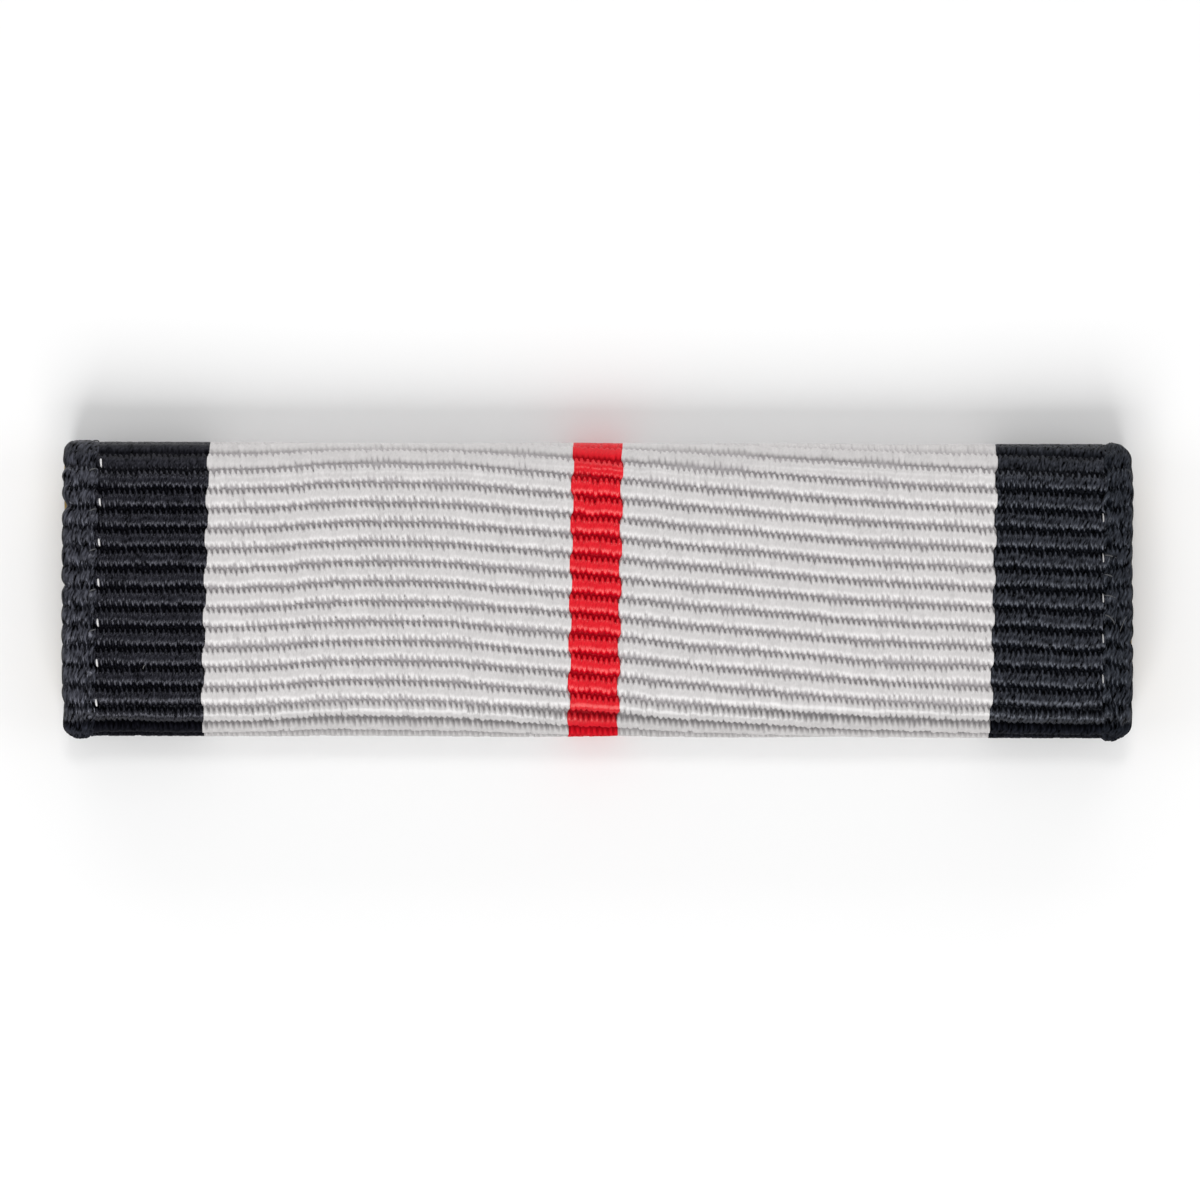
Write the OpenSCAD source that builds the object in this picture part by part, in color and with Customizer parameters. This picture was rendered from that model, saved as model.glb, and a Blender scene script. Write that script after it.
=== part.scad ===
// Ribbon bar: a striped rep ribbon wound round a brass channel that slides onto a mounting rail.
// It lies on its back. X runs along the bar, Y up the front face, and Z out of the front face.
// The origin is under the middle of the bar, on the surface that it lies on. Lengths are millimetres.

/* [Ribbon] */
// Width of the woven ribbon over its weft loops, along X
ribbon_w = 34.9; // [30:0.1:40]
// Height of the front from fold to fold, along Y, at the rib crests
front_h = 9.65; // [9:0.05:14]
// Thickness of the ribbon at its rib crests
ribbon_t = 0.5; // [0.3:0.01:0.7]
// Clearance between the ribbon and the metal that it is wound on
wrap_gap = 0.03; // [0.02:0.01:0.06]
// How far each cut end stops short of the lip's edge, on the back
end_setback = 0.05; // [0:0.01:0.4]
// Radius of the ribbon's corners seen from the front
corner_r = 0.45; // [0.1:0.05:0.6]

/* [Stripes] */
// Width of each dark border, its selvedge included
border_w = 4.55; // [2.5:0.05:8]
// Width of the middle stripe
centre_stripe_w = 1.63; // [0.6:0.01:5]
// Width of the left selvedge
selvedge_left_w = 1.1; // [0.9:0.05:1.6]
// Width of the right selvedge
selvedge_right_w = 0.95; // [0.9:0.05:1.6]
// How much thicker the selvedges are than the rest
selvedge_swell = 0.06; // [0:0.01:0.12]
// How far the rounding of each edge of the ribbon reaches in from the edge
edge_round = 0.15; // [0.05:0.01:0.25]

/* [Ribs] */
// Distance from rib to rib along the ribbon
rib_pitch = 0.65; // [0.5:0.01:1]
// Depth of the valleys between the ribs
rib_depth = 0.1; // [0.04:0.01:0.16]
// Flat share of each rib, at its crest
rib_crest_share = 0.4; // [0.2:0.05:0.6]
// How far down the face the valley nearest the middle starts, at the left end
rib_offset = -0.05; // [-0.3:0.01:0.3]
// How far the ribs fall from the left end of the bar to the right end
rib_fall = 1.41; // [0:0.01:2]
// How far the ribs of the right selvedge lie above the ones beside them
rib_shift = 0.22; // [0:0.01:0.6]
// How far the weft loop at the end of each rib stands out past the valleys
loop_bulge = 0.08; // [0.02:0.01:0.16]

/* [Channel] */
// Thickness of the brass sheet
sheet_t = 0.4; // [0.2:0.01:0.6]
// Height of the slot that takes the mounting rail
slot_h = 0.9; // [0.4:0.01:1.2]
// Flat length of each lip past its bend
lip_len = 1.5; // [0.8:0.05:2.2]
// How far the ends of the channel stay inside the ribbon's ends
channel_inset = 0.02; // [0:0.01:0.3]
// How much the sheared left end is out of square, over the channel's height
shear_slant = 0.16; // [0:0.01:0.3]

/* [Hidden] */
$fn = 64;
CUT_OVER = 1;        // cutters reach this far past what they cut
STATION_STEP = 2.1;  // longest stretch of ribbon between two cross-sections
SNAP = 0.02;         // a point this close to a cut end moves onto it

black_warp = [0.13, 0.13, 0.15];
white_warp = [0.83, 0.82, 0.82];
red_warp = [0.84, 0.13, 0.18];
brass = [0.80, 0.62, 0.28];

// Path of the ribbon round the channel: two flats joined by two half-round folds
channel_r = slot_h / 2 + sheet_t;          // outside radius of the channel's bends
inner_r = channel_r + wrap_gap;            // inside radius of the ribbon's folds
crest_r = inner_r + ribbon_t;              // outside radius of the folds, at the crests
path_r = crest_r - rib_depth;              // radius at which the ribs keep their distance
fold_y = front_h / 2 - crest_r;            // half of each flat, and the height of the fold centres
mid_z = crest_r + selvedge_swell;          // height of the fold centres above the rest surface
fold_len = PI * path_r;
tail_len = lip_len - end_setback;          // flat of the ribbon behind each lip
half_len = fold_y + fold_len + tail_len;   // half of the ribbon's own length

// Bends in the ribs: [share of the width from the left end, share of rib_fall]
RIB_LINE = [
    [0.00, 0.00],
    [0.17, 0.00],
    [0.22, -0.09],
    [0.27, -0.16],
    [0.36, -0.12],
    [0.42, 0.00],
    [0.50, 0.18],
    [0.57, 0.35],
    [0.65, 0.53],
    [0.74, 0.69],
    [0.85, 0.86],
    [0.95, 0.98],
    [1.00, 1.00],
];

// Outline of one rib from valley to valley: [share of the pitch, share of rib_depth that is missing]
RIB_SHAPE = [
    [0, 1],
    [(1 - rib_crest_share) / 2, 0],
    [(1 + rib_crest_share) / 2, 0],
    [1, 1],
];

// Stripe edges along X, from left to right
left_x = -ribbon_w / 2;
right_x = ribbon_w / 2;
border_left_x = left_x + selvedge_left_w;
field_left_x = left_x + border_w;
centre_left_x = -centre_stripe_w / 2;
centre_right_x = centre_stripe_w / 2;
border_right_x = right_x - border_w;
selvedge_right_x = right_x - selvedge_right_w;

// How far down the face the rib valley nearest the middle lies at x
function valley_at(x) = rib_offset + rib_fall * lookup((x - left_x) / ribbon_w, RIB_LINE);

// Point [y, z] at path position s, counted down the face from its middle, at radius r
function wrap(s, r) =
    let (side = s < 0 ? 1 : -1, past_face = abs(s) - fold_y, past_fold = past_face - fold_len)
    past_face <= 0 ? [-s, mid_z + r]
    : past_fold <= 0 ? let (turn = past_face / fold_len * 180)
        [side * (fold_y + r * sin(turn)), mid_z + r * cos(turn)]
    : [side * (fold_y - past_fold), mid_z - r];

// One cross-section as [s, share of rib_depth missing], clipped at both cut ends.
// Points past a cut end fall together on it, so every cross-section has the same number.
last_rib = ceil((half_len + rib_fall) / rib_pitch) + 1;
function section(first_valley) = [
    for (rib = [-last_rib:last_rib - 1], k = [0:len(RIB_SHAPE) - 2])
        let (s = first_valley + (rib + RIB_SHAPE[k][0]) * rib_pitch)
        abs(s) < half_len - SNAP ? [s, RIB_SHAPE[k][1]]
        : let (end = sign(s) * half_len, along = (end - first_valley) / rib_pitch)
            [end, lookup(along - floor(along), RIB_SHAPE)]
];

// Closed ring of points round a cross-section: outer face from end to end, then inner face back
function ring(profile, outer_r, thin, x_at) =
    let (
        outer = [for (p = profile) let (yz = wrap(p[0], outer_r - p[1] * rib_depth - thin))
            [x_at(p, yz[0]), yz[0], yz[1]]],
        inner = [for (p = profile) let (yz = wrap(p[0], inner_r + thin))
            [x_at(p, yz[0]), yz[0], yz[1]]],
        last = len(profile) - 1
    )
    [each outer, for (i = [last:-1:0]) inner[i]];

// Ring that is flat across X
function flat_ring(x, outer_r = crest_r, lift = 0) =
    ring(section(valley_at(x) - lift), outer_r, 0, function (p, y) x);

// How far the corner curve draws the end of the ribbon in at height y
function corner_inset(y) =
    let (into = min(corner_r, max(0, abs(y) - (front_h / 2 + selvedge_swell - corner_r))))
    corner_r - sqrt(corner_r * corner_r - into * into);

// Ring near an end of the ribbon: its ribs bulge at their weft loops, and its corners are round
function loop_ring(end_x, back, thin, lift = 0) =
    let (inward = end_x > 0 ? -1 : 1)
    ring(section(valley_at(end_x) - lift), crest_r + selvedge_swell, thin,
        function (p, y) end_x + inward * (back + p[1] * loop_bulge + corner_inset(y)));

// Closed skin over rings of equal length, each further along X than the last
module skin(rings) {
    n = len(rings[0]);
    last = len(rings) - 1;
    // each end is a strip between the outer and the inner face
    front_cap = [for (i = [0:n / 2 - 2]) each [[i, i + 1, n - 2 - i], [i, n - 2 - i, n - 1 - i]]];
    polyhedron(
        points = [for (ring = rings) each ring],
        faces = [
            each front_cap,
            for (k = [0:last - 1], i = [0:n - 1])
                let (a = k * n, b = a + n, j = (i + 1) % n)
                each [[a + i, b + i, b + j], [a + i, b + j, a + j]],
            for (tri = front_cap) [for (i = [2:-1:0]) last * n + tri[i]],
        ],
        convexity = 10
    );
}

// Flat with a half-round at each end, standing in the YZ plane and run along X
module racetrack(radius, from_x, to_x) {
    translate([from_x, 0, mid_z]) rotate([90, 0, 90]) linear_extrude(height = to_x - from_x)
        union() {
            square([2 * fold_y, 2 * radius], center = true);
            for (side = [-1, 1]) translate([side * fold_y, 0]) circle(r = radius);
        }
}

// One run of the ribbon's warp from from_x to to_x, wound round the channel
module warp_stripe(from_x, to_x, colour) {
    steps = ceil((to_x - from_x) / STATION_STEP);
    color(colour) skin([for (i = [0:steps]) flat_ring(from_x + (to_x - from_x) * i / steps)]);
}

module ribbon_selvedge_left() {
    color(black_warp) skin([
        loop_ring(left_x, 0, ribbon_t / 4),
        loop_ring(left_x, edge_round, 0),
        flat_ring(border_left_x, crest_r + selvedge_swell),
    ]);
}

module ribbon_selvedge_right() {
    color(black_warp) skin([
        flat_ring(selvedge_right_x, crest_r + selvedge_swell, rib_shift),
        loop_ring(right_x, edge_round, 0, rib_shift),
        loop_ring(right_x, 0, ribbon_t / 4, rib_shift),
    ]);
}

module ribbon_border_left() warp_stripe(border_left_x, field_left_x, black_warp);
module ribbon_field_left() warp_stripe(field_left_x, centre_left_x, white_warp);
module ribbon_centre() warp_stripe(centre_left_x, centre_right_x, red_warp);
module ribbon_field_right() warp_stripe(centre_right_x, border_right_x, white_warp);
module ribbon_border_right() warp_stripe(border_right_x, selvedge_right_x, black_warp);

// Brass strip bent round along both long edges; its left end is sheared a little out of square
module channel() {
    from_x = left_x + channel_inset;
    to_x = right_x - channel_inset;
    height = 2 * (fold_y + channel_r);
    mouth_h = 2 * (fold_y - lip_len);
    color(brass) difference() {
        racetrack(channel_r, from_x, to_x);
        racetrack(slot_h / 2, from_x - CUT_OVER, to_x + CUT_OVER);
        translate([from_x - CUT_OVER, -mouth_h / 2, -CUT_OVER])
            cube([to_x - from_x + 2 * CUT_OVER, mouth_h, mid_z + CUT_OVER]);
        translate([from_x, height / 2, mid_z]) rotate([0, 0, atan(shear_slant / height)])
            translate([-CUT_OVER, -height - CUT_OVER, -crest_r])
                cube([CUT_OVER, height + 2 * CUT_OVER, 2 * crest_r]);
    }
}

channel();
ribbon_selvedge_left();
ribbon_border_left();
ribbon_field_left();
ribbon_centre();
ribbon_field_right();
ribbon_border_right();
ribbon_selvedge_right();
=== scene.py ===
# %% [markdown]
# # A ribbon bar, thread by thread
#
# The bar is a flat brass channel with a striped rep ribbon wound round it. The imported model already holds
# the right sizes, so this script adds what makes the cloth look woven: fine warp threads that arch over thick
# weft ribs, selvedges that turn round the edge, and brass that has dulled.
#
# Everything is in metres in the model's own frame. Lengths that are easier to think of in millimetres are
# multiplied by MM once, where the points go into a mesh.

import bpy
import numpy as np
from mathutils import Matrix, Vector


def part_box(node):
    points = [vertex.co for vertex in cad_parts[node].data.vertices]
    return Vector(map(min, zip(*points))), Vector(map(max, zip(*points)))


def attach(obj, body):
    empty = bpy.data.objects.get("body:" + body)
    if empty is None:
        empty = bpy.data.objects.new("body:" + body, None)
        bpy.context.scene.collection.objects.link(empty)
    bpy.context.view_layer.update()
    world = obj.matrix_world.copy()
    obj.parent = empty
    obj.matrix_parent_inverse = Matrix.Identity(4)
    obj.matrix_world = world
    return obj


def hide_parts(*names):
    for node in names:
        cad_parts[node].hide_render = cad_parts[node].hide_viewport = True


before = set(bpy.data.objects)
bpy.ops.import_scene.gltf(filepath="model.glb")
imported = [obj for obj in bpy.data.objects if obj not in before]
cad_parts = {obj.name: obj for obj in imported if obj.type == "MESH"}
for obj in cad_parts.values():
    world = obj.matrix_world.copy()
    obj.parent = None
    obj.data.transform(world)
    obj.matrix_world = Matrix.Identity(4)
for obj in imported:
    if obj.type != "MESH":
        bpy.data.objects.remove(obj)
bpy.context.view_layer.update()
MM = 0.001

# %% [markdown]
# ## Camera, light and table
#
# The photograph looks straight down on the bar through a long lens. A camera that looks along -Z with +Y
# upwards hardly needs turning: the bar lies a seventh of a degree askew in the picture, and the camera takes
# that turn. The bar is not quite in the middle either, so the camera stands a little to the right of it and a
# little below it.

# %% Camera
PICTURE_W = 39.24  # width in mm of what the square picture takes in, at the height of the bar's edges
LENS = 200.0
ASKEW = 0.0025  # how far the picture turns, in radians
AIM_X, AIM_Y = 0.08, -0.33  # where the camera points, in mm
EDGE_Z = 1.8  # height in mm of the bar's edges above the table
camera_data = bpy.data.cameras.new("camera")
camera_data.lens = LENS
camera_data.sensor_width = 36.0
camera_data.clip_start, camera_data.clip_end = 0.01, 10.0
camera = bpy.data.objects.new("camera", camera_data)
camera_z = PICTURE_W * LENS / camera_data.sensor_width + EDGE_Z
camera.location = (AIM_X * MM, AIM_Y * MM, camera_z * MM)
camera.rotation_euler = (0.0, 0.0, ASKEW)
bpy.context.scene.collection.objects.link(camera)
bpy.context.scene.camera = camera
bpy.context.scene.view_settings.view_transform = "Standard"
print("camera", round(camera_z, 1), "mm above the table")


# %% [markdown]
# The light is soft and plain: a pale surround that fills every shadow, and five panels round the bar. None
# hangs right above it, so the flat tops of the black ribs stay dark and only their slopes catch a shine. The
# panel on the lower side of the picture is the strongest, because the lower slope of every rib is the
# brightest. A small high one gives the upper slopes their faint second shine.

# %% Light
def panel(name, bearing, tilt, distance, width, height, watts):
    """A rectangular light that faces the origin, in mm and degrees. It stands at the distance times
    (sin tilt cos bearing, sin tilt sin bearing, cos tilt)."""
    data = bpy.data.lights.new(name, "AREA")
    data.shape, data.size, data.size_y, data.energy = "RECTANGLE", width * MM, height * MM, watts
    light = bpy.data.objects.new(name, data)
    bearing, tilt = np.radians(bearing), np.radians(tilt)
    towards = Vector((np.sin(tilt) * np.cos(bearing), np.sin(tilt) * np.sin(bearing), np.cos(tilt)))
    light.location = towards * distance * MM
    light.rotation_euler = (-towards).to_track_quat("-Z", "Y").to_euler()
    bpy.context.scene.collection.objects.link(light)


PANELS = {  # bearing and tilt in degrees, distance, width and height in mm, watts
    "low_panel": (-93, 46, 350, 230, 200, 0.86),
    "high_panel": (90, 24, 400, 70, 70, 0.2),
    "rim_panel": (90, 78, 300, 400, 160, 0.46),
    "left_panel": (180, 58, 400, 250, 250, 0.18),
    "right_panel": (0, 58, 400, 250, 250, 0.18),
}
for panel_name, panel_numbers in PANELS.items():
    panel(panel_name, *panel_numbers)

world = bpy.data.worlds.new("surround")
world.use_nodes = True
surround = world.node_tree.nodes["Background"]
surround.inputs["Color"].default_value = (1.0, 1.0, 1.0, 1.0)
surround.inputs["Strength"].default_value = 0.4
bpy.context.scene.world = world
print(len(bpy.data.lights), "panels and a pale surround")

# %% [markdown]
# The bar lies on a plain sheet of pale paper. A flat square far larger than the picture has no edge that
# could show, and it throws light back up under the folds.

# %% Table
TABLE = 2.0  # half its width in metres
table_mesh = bpy.data.meshes.new("table")
table_corners = [(-TABLE, -TABLE, 0), (TABLE, -TABLE, 0), (TABLE, TABLE, 0), (-TABLE, TABLE, 0)]
table_mesh.from_pydata(table_corners, [], [(0, 1, 2, 3)])
table = bpy.data.objects.new("table", table_mesh)
bpy.context.scene.collection.objects.link(table)
paper = bpy.data.materials.new("table_paper")
paper.use_nodes = True
paper_shader = paper.node_tree.nodes["Principled BSDF"]
paper_shader.inputs["Base Color"].default_value = (0.9, 0.9, 0.9, 1.0)
paper_shader.inputs["Roughness"].default_value = 0.9
table_mesh.materials.append(paper)
print("table laid")

# %% [markdown]
# ## The path of the ribbon
#
# The cloth follows one path round the channel: down the front, round the lower fold and along the back to
# its cut end, and the same upwards. So every point of it has three numbers: x across the ribbon, s along the
# path from the middle of the front, and a radius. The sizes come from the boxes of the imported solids.

# %% Sizes of the ribbon in mm
WRAP_GAP = 0.03  # from the metal to the inner side of the cloth
RIB_DEPTH = 0.1  # from the crests to the middle of the weft
TAIL = 1.45  # length of ribbon on the back of each lip


def mm_box(node):
    """Lowest and highest corner of a solid, in mm."""
    low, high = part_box(node)
    return np.array(low) / MM, np.array(high) / MM


cloth_low, cloth_high = mm_box("ribbon_centre")
CREST_R = (cloth_high[2] - cloth_low[2]) / 2
MID_Z = (cloth_high[2] + cloth_low[2]) / 2
FOLD_Y = (cloth_high[1] - cloth_low[1]) / 2 - CREST_R
metal_low, metal_high = mm_box("channel")
INNER_R = (metal_high[2] - metal_low[2]) / 2 + WRAP_GAP
SWELL = mm_box("ribbon_selvedge_left")[1][2] - cloth_high[2]
PATH_R = CREST_R - RIB_DEPTH
FOLD_LEN = np.pi * PATH_R
HALF_LEN = FOLD_Y + FOLD_LEN + TAIL
print(f"crest radius {CREST_R:.3f}, inner radius {INNER_R:.3f}")
print(f"half the flat {FOLD_Y:.3f}, half the whole length {HALF_LEN:.3f}")


# %% From path to place
def wrap(s, r):
    """y and z at path position s and radius r. On a flat, y runs with s. On a fold, the point turns round the
    fold's centre by an angle of the length past the flat divided by PATH_R. Behind, y runs back again."""
    side = np.where(s < 0, 1.0, -1.0)
    past = np.abs(s) - FOLD_Y
    turn = np.clip(past / PATH_R, 0.0, np.pi)
    along = np.minimum(past, 0.0) - np.maximum(past - FOLD_LEN, 0.0)
    y = side * (FOLD_Y + along + r * np.sin(turn))
    z = MID_Z + r * np.cos(turn)
    return y, z


def path_at(y):
    """The path position s that a point at y has, seen from the front: the reverse of wrap on the crests."""
    past = np.maximum(np.abs(y) - FOLD_Y, 0.0)
    return -np.sign(y) * (np.minimum(np.abs(y), FOLD_Y) + PATH_R * np.arcsin(np.minimum(past / CREST_R, 1.0)))


def ease(share):
    """A smooth step: 3 a^2 - 2 a^3 of the share, held between 0 and 1."""
    share = np.clip(share, 0.0, 1.0)
    return share * share * (3 - 2 * share)


def rise(value, start, over):
    """A smooth step from 0 where the value is start to 1 where it is start + over."""
    return ease((value - start) / over)


for along_path in (0.0, 3.0, FOLD_Y + FOLD_LEN / 2, HALF_LEN):
    y_and_z = wrap(np.array(along_path), CREST_R)
    print(f"s {along_path:.2f} ->", [round(float(number), 3) for number in y_and_z])

# %% [markdown]
# ## How the ribs run
#
# The weft doesn't run quite straight. From left to right the ribs rise a little, and then fall by more than
# two ribs. Each rib also wanders a little by itself. A short table says how far the ribs have fallen at some
# places across the ribbon, as shares of the width and of the whole fall, and it is smoothed between them.

# %% The fall of the ribs
LEFT_X, RIGHT_X = mm_box("ribbon_selvedge_left")[0][0], mm_box("ribbon_selvedge_right")[1][0]
RIBBON_W = RIGHT_X - LEFT_X
RIB = 0.6445  # from rib to rib
FIRST_VALLEY = -0.07  # path position of a valley between two ribs at the left edge
RIB_FALL = 1.41  # how far a rib falls from the left edge to the right one
RIB_LINE = np.array([  # share of the width, share of the fall
    (0.00, 0.00), (0.17, 0.00), (0.20, -0.03), (0.225, -0.10), (0.25, -0.15), (0.28, -0.165),
    (0.33, -0.14), (0.365, -0.125), (0.39, -0.06), (0.42, 0.00), (0.45, 0.07), (0.50, 0.18),
    (0.54, 0.27), (0.57, 0.37), (0.60, 0.42), (0.65, 0.54), (0.71, 0.67), (0.76, 0.77),
    (0.82, 0.85), (0.89, 0.93), (0.95, 1.00), (1.00, 1.02),
])
SMOOTHING, REACH = 14.0, 40  # spread of the smoothing bell and where it is cut off, in steps of shares
shares = np.linspace(-0.05, 1.05, 1101)
rough_line = np.interp(shares, RIB_LINE[:, 0], RIB_LINE[:, 1])
bell = np.exp(-0.5 * (np.arange(-REACH, REACH + 1) / SMOOTHING) ** 2)
line = np.convolve(np.pad(rough_line, REACH, mode="edge"), bell / bell.sum(), mode="valid")


def across_share(x):
    """Where x lies across the ribbon, from 0 at its left edge to 1 at its right edge."""
    return (x - LEFT_X) / RIBBON_W


def fall(x):
    """How far the ribs have moved down the face at x: the table's smoothed line times the whole fall, less
    what the picture's own turn has added to it."""
    return RIB_FALL * np.interp(across_share(x), shares, line) - ASKEW * x


chance = np.random.default_rng(41)
RIBS = 64  # ribs that have chances of their own, more than the ribbon has
WANDER_LENGTHS = (14.0, 6.0, 2.5)  # in mm
wander_phase = chance.uniform(0, 2 * np.pi, (RIBS, 3))
wander_size = chance.normal(0, 1, (RIBS, 3)) * (0.016, 0.012, 0.008)


def wander(x, rib):
    """How far one rib strays from its place, in ribs: three waves across the ribbon with their own phases."""
    rib = rib.astype(int) % RIBS
    waves = [
        wander_size[rib, i] * np.sin(2 * np.pi * x / length + wander_phase[rib, i])
        for i, length in enumerate(WANDER_LENGTHS)
    ]
    return sum(waves)


print(f"a rib falls {float(fall(0.0)):.3f} mm to the middle, {float(fall(RIGHT_X)):.3f} mm to the right end")

# %% [markdown]
# ## The weave
#
# A rep ribbon has two sets of warp threads. On one rib the first set lies on top and covers the weft, and on
# the next rib the second set does, half a thread to the side. Each thread arches over its rib, grows narrow
# towards the valleys and dives between the threads of the other set, so that the two sets bite into each
# other like teeth.
#
# The whole cloth could be built of separate tubes, but there would be thousands of them. One height for each
# point gives the same surface: every set is an arch along the thread with a round back across it, and what
# shows is the highest of them. The numbers that tell one kind of weave from another stand in a small
# dictionary, so that the looser selvedge can use the same function. No cloth is woven evenly: in broad
# patches the threads lie loose, and there they stand apart below each crest.

# %% Height of the cloth
THREAD = 0.179  # from thread to thread within one set
THREAD_FROM = 0.062  # middle of one thread of the first set
FLOOR = -0.17  # no gap is deeper than this, before RELIEF_AT changes it
STEEP = 0.8  # how fast the surface drops beside a thread
DIVE = 1.3  # how steeply the lower end of a float dives
CLIMB = 0.9  # how steeply the upper end comes out of the valley
FULL = 1.1  # width of a float's body, where 1 is half the way to the next thread
BODY, END = 0.15, 0.35  # half the length of a float's even middle and of each end, in ribs
PART_FROM, PART_OVER = 0.05, 0.22  # where loose floats begin to part, and over what length, in ribs
BITE_FROM, BITE_OVER = 0.3, 0.12  # where the ends begin to reach into each other, in ribs
SLACK = 0.1  # how much shorter a loose float reaches, in ribs
STRETCH, STRETCH_FROM, STRETCH_OVER = 0.12, 3.3, 0.4  # the same for the cloth drawn over the upper fold
THREADS = 512  # threads that have chances of their own, more than the ribbon has
tint_table, lift_table, slide_table, sway_table, stagger_table = chance.normal(0, 1, (5, THREADS, RIBS))
LOOSE_WAVES = ((0.3, 9.0, 0.4), (-0.25, 5.2, 2.1), (0.9, 3.7, 4.4), (-0.1, 2.3, 1.0))  # way, length, start
LOOSE_GAIN, LOOSE_LESS = 0.9, 0.35

CLOTH = dict(
    thread=THREAD, arch=0.3, crest=-0.05, reach_up=0.58, reach_down=0.75, dive_from=0.43,
    width_at=np.array([
        (-0.5, 0.35), (-0.42, 0.5), (-0.25, 0.64), (-0.16, FULL),
        (0.28, FULL), (0.38, 0.9), (0.44, 0.7), (0.48, 0.45), (0.52, 0.05),
    ]).T,
    top_round=0.006, end_round=0.06, rough=0.006, stagger=0.025, slide=0.06, sway=0.15, rise_to=-0.4,
    gape=0.32, bite=0.035,
)
BLACK_CLOTH = CLOTH | {"top_round": 0.016, "gape": 0.36, "bite": 0.025}
RED_CLOTH = CLOTH | {"gape": 0.1, "bite": 0.02}
LEAN_AT = np.array([  # share of the width, how far the ends of the floats lean
    (0.0, 0.15), (0.13, 0.2), (0.3, 0.28), (0.46, 0.18), (0.5, 0.0), (0.55, 0.08), (0.8, 0.15), (1.0, 0.1),
])
RELIEF_AT = np.array([  # path position, share of the relief
    (-9.0, 0.7), (-6.3, 0.7), (-5.1, 0.55), (-4.6, 0.85), (-4.35, 0.9), (-4.0, 0.9), (-3.6, 1.0),
    (3.7, 1.0), (4.2, 1.4), (5.2, 1.3), (6.3, 0.7), (9.0, 0.7),
])


def looseness(x, s):
    """How loose the floats lie, from 0 to 1: four broad waves over the face, added up and turned into a share
    by (1 + tanh(gain * sum - less)) / 2."""
    waves = sum(
        np.sin(2 * np.pi * (x * np.cos(way) + s * np.sin(way)) / length + start)
        for way, length, start in LOOSE_WAVES
    )
    return (1 + np.tanh(LOOSE_GAIN * waves - LOOSE_LESS)) / 2


def weave(x, s, kind, shift=0.0):
    """Height below the crests and tint at x and s, where the ribs lie shift lower down the face.
    With d the distance below the rib's middle in ribs, and c the one from the thread's middle from 0 to 1,
    a float's arch is arch * (sqrt(1 - ((d - crest) / reach)^2) - 1), and both its ends dive at last. Near
    them d is moved by bite * (1 - 2 c), so that the middle reaches further than the sides and the ends of two
    ribs bite into each other. A table gives the width at every d: a narrow tip above, a broad body and a
    round lobe below, which is narrower where the cloth is loose. The back drops by
    rounding * (1 - sqrt(1 - (c / width)^2)), and past its side the surface falls steeply."""
    q = (s - FIRST_VALLEY - shift - fall(x)) / RIB
    lean = np.interp(across_share(x), LEAN_AT[:, 0], LEAN_AT[:, 1])
    loose = looseness(x, s)
    reach_down = kind["reach_down"] - STRETCH * rise(-s, STRETCH_FROM, STRETCH_OVER) - SLACK * loose
    first = np.floor(q)
    best = np.full(q.shape, FLOOR)
    tint = np.zeros(q.shape)
    for step in (-1, 0, 1):
        rib = first + step
        d = q - rib - 0.5 - wander(x, rib)
        slant = lean * RIB * np.sign(d) * np.maximum(np.abs(d) - BODY, 0.0)
        across = (x - THREAD_FROM - slant) / kind["thread"] - 0.5 * (rib % 2)
        thread = np.round(across)
        row, column = thread.astype(int) % THREADS, rib.astype(int) % RIBS
        d = d + kind["stagger"] * stagger_table[row, column]
        stray = kind["slide"] * slide_table[row, column] + kind["sway"] * sway_table[row, column] * d
        c = np.abs(2 * (across - thread) + stray)
        d = d - kind["bite"] * (1 - 2 * c) * np.sign(d) * rise(np.abs(d), BITE_FROM, BITE_OVER)
        apart = kind["gape"] * loose * rise(d, PART_FROM, PART_OVER)
        width = np.minimum(np.interp(d, *kind["width_at"]), FULL - apart)
        at_end = rise(np.abs(d), BODY, END)
        rounding = kind["top_round"] + (kind["end_round"] - kind["top_round"]) * at_end
        reach = np.where(d < kind["crest"], kind["reach_up"], reach_down)
        arch = kind["arch"] * (np.sqrt(np.clip(1 - ((d - kind["crest"]) / reach) ** 2, 0, 1)) - 1)
        arch = arch - DIVE * np.maximum(d - kind["dive_from"], 0) - CLIMB * np.maximum(kind["rise_to"] - d, 0)
        back = 1 - np.sqrt(np.clip(1 - (c / width) ** 2, 0, 1))
        height = arch - rounding * back - STEEP * np.maximum(c - width, 0.0)
        height = height + kind["rough"] * lift_table[row, column]
        tint = np.where(height > best, tint_table[row, column], tint)
        best = np.maximum(best, height)
    relief = np.interp(s, RELIEF_AT[:, 0], RELIEF_AT[:, 1])
    return np.minimum(best, 0.0) * relief, tint


probe = weave(np.linspace(0, 2, 400)[None, :], np.linspace(-1, 1, 300)[:, None], CLOTH)[0]
print(f"the cloth lies {-probe.mean():.3f} mm below the crests on average, {-probe.min():.3f} at most")


# %% [markdown]
# The threads themselves drift a little to the left on their way down the face, and the colour changes from
# one stripe to the next at a thread. As the sets lie half a thread apart, each border steps to and fro by
# half a thread from rib to rib. Both stripes use the same border line, so they meet without a gap.

# %% Drift of the threads and zigzag of the borders
DRIFT_AT = np.array([  # share of the width, share of the drift
    (0.0, 0.0), (0.033, 0.6), (0.13, 1.0), (0.5, 0.65), (0.87, 1.0), (0.97, 0.3), (1.0, 0.0),
])
DRIFT = 0.2  # how far the threads move to the left over the height of the front
CALM, CALM_FROM, CALM_OVER = 0.8, 4.2, 0.4  # how much the zigzag loses on the folds, and where


def drift(x, s):
    """How far a thread has moved to the right at s: the drift's share at x times the share of the front's
    height that s has passed, counted from its middle."""
    share = np.interp(across_share(x), DRIFT_AT[:, 0], DRIFT_AT[:, 1])
    front = FOLD_Y + CREST_R
    return -share * DRIFT * np.clip(s, -front, front) / (2 * front)


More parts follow.
